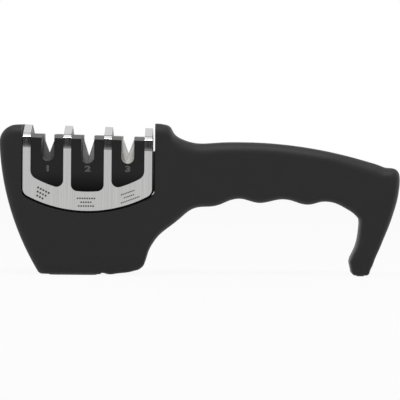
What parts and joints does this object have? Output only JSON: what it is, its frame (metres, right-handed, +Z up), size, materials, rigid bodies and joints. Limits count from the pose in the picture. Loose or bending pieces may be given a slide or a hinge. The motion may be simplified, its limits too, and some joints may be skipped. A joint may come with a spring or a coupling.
{
  "type": "pull-through knife sharpener",
  "caption": "Hand-held pull-through knife sharpener: a slotted cartridge with a strapped steel cover lifts out of a dark grey body with a finger-grooved handle and a heel leg.",
  "frame": {"origin": "on the worktop under the middle of the whole sharpener", "axes": "+X along the handle from the head to the heel, -Y towards the user, +Z up"},
  "size_m": [0.2108, 0.0456, 0.0796],
  "materials": {
    "body_plastic": "fine matte",
    "cartridge_plastic": "matte",
    "carrier_plastic": "matte",
    "cover_steel": "brushed along the height",
    "screw_steel": "zinc plated",
    "pad_rubber": "matte",
    "diamond_grit": "grit coated",
    "carbide": "ground",
    "ceramic": "matte ceramic"
  },
  "bodies": {
    "handle_body": {"body_front_shell": "body_plastic", "body_rear_shell": "body_plastic", "body_screws": "screw_steel", "base_pad": "pad_rubber", "foot_pad": "pad_rubber"},
    "cartridge": {"cartridge_front": "cartridge_plastic", "cartridge_rear": "cartridge_plastic", "cartridge_screws": "screw_steel", "cartridge_key": "cartridge_plastic", "key_screws": "screw_steel", "steel_cover": "cover_steel", "diamond_carrier": "carrier_plastic", "carbide_carrier": "carrier_plastic", "ceramic_carrier": "carrier_plastic", "diamond_bar_front": "diamond_grit", "diamond_bar_rear": "diamond_grit", "carbide_bar_front": "carbide", "carbide_bar_rear": "carbide", "ceramic_rod_front": "ceramic", "ceramic_rod_rear": "ceramic"}
  },
  "joints": [
    {"name": "cartridge_lift", "type": "slide", "parent": "handle_body", "child": "cartridge", "axis": [0, 0, 1], "range_m": [0, 0.06]}
  ]
}
